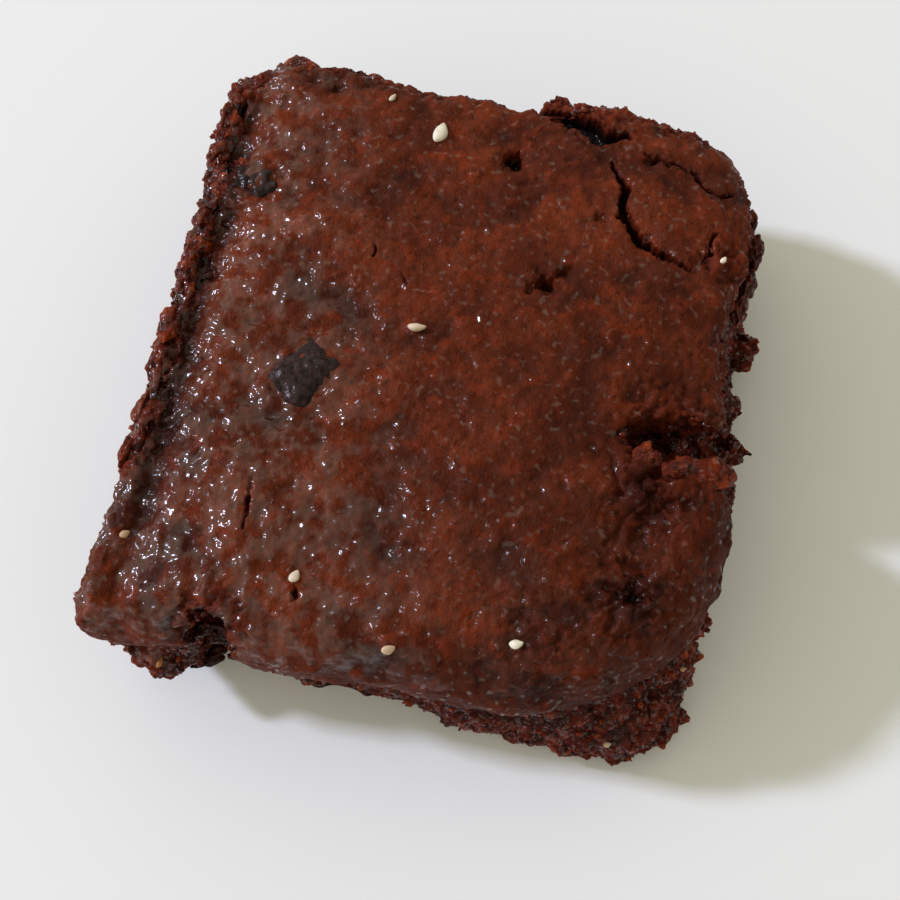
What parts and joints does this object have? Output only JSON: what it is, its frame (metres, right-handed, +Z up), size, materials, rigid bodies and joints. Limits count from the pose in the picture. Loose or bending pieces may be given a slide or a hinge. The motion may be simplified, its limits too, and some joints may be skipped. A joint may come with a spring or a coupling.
{
  "type": "vegan brownie",
  "caption": "Thick square of dark chocolate brownie with a domed, cracked crust that overhangs crumbly sides, raisins set in the top and scattered sesame seeds.",
  "frame": {"origin": "middle of the bounding box in plan, on the flat foot that the brownie lies on", "axes": "+Z up through the thickness, +Y towards the far edge with the notch, +X towards the broken right edge with the cleft"},
  "size_m": [0.08, 0.0856, 0.028],
  "materials": {
    "baked_chocolate_crust": null,
    "dried_raisin_skin": null
  },
  "bodies": {
    "root": {"brownie": "baked_chocolate_crust", "raisin_top": "dried_raisin_skin", "raisin_rim": "dried_raisin_skin"}
  },
  "joints": []
}
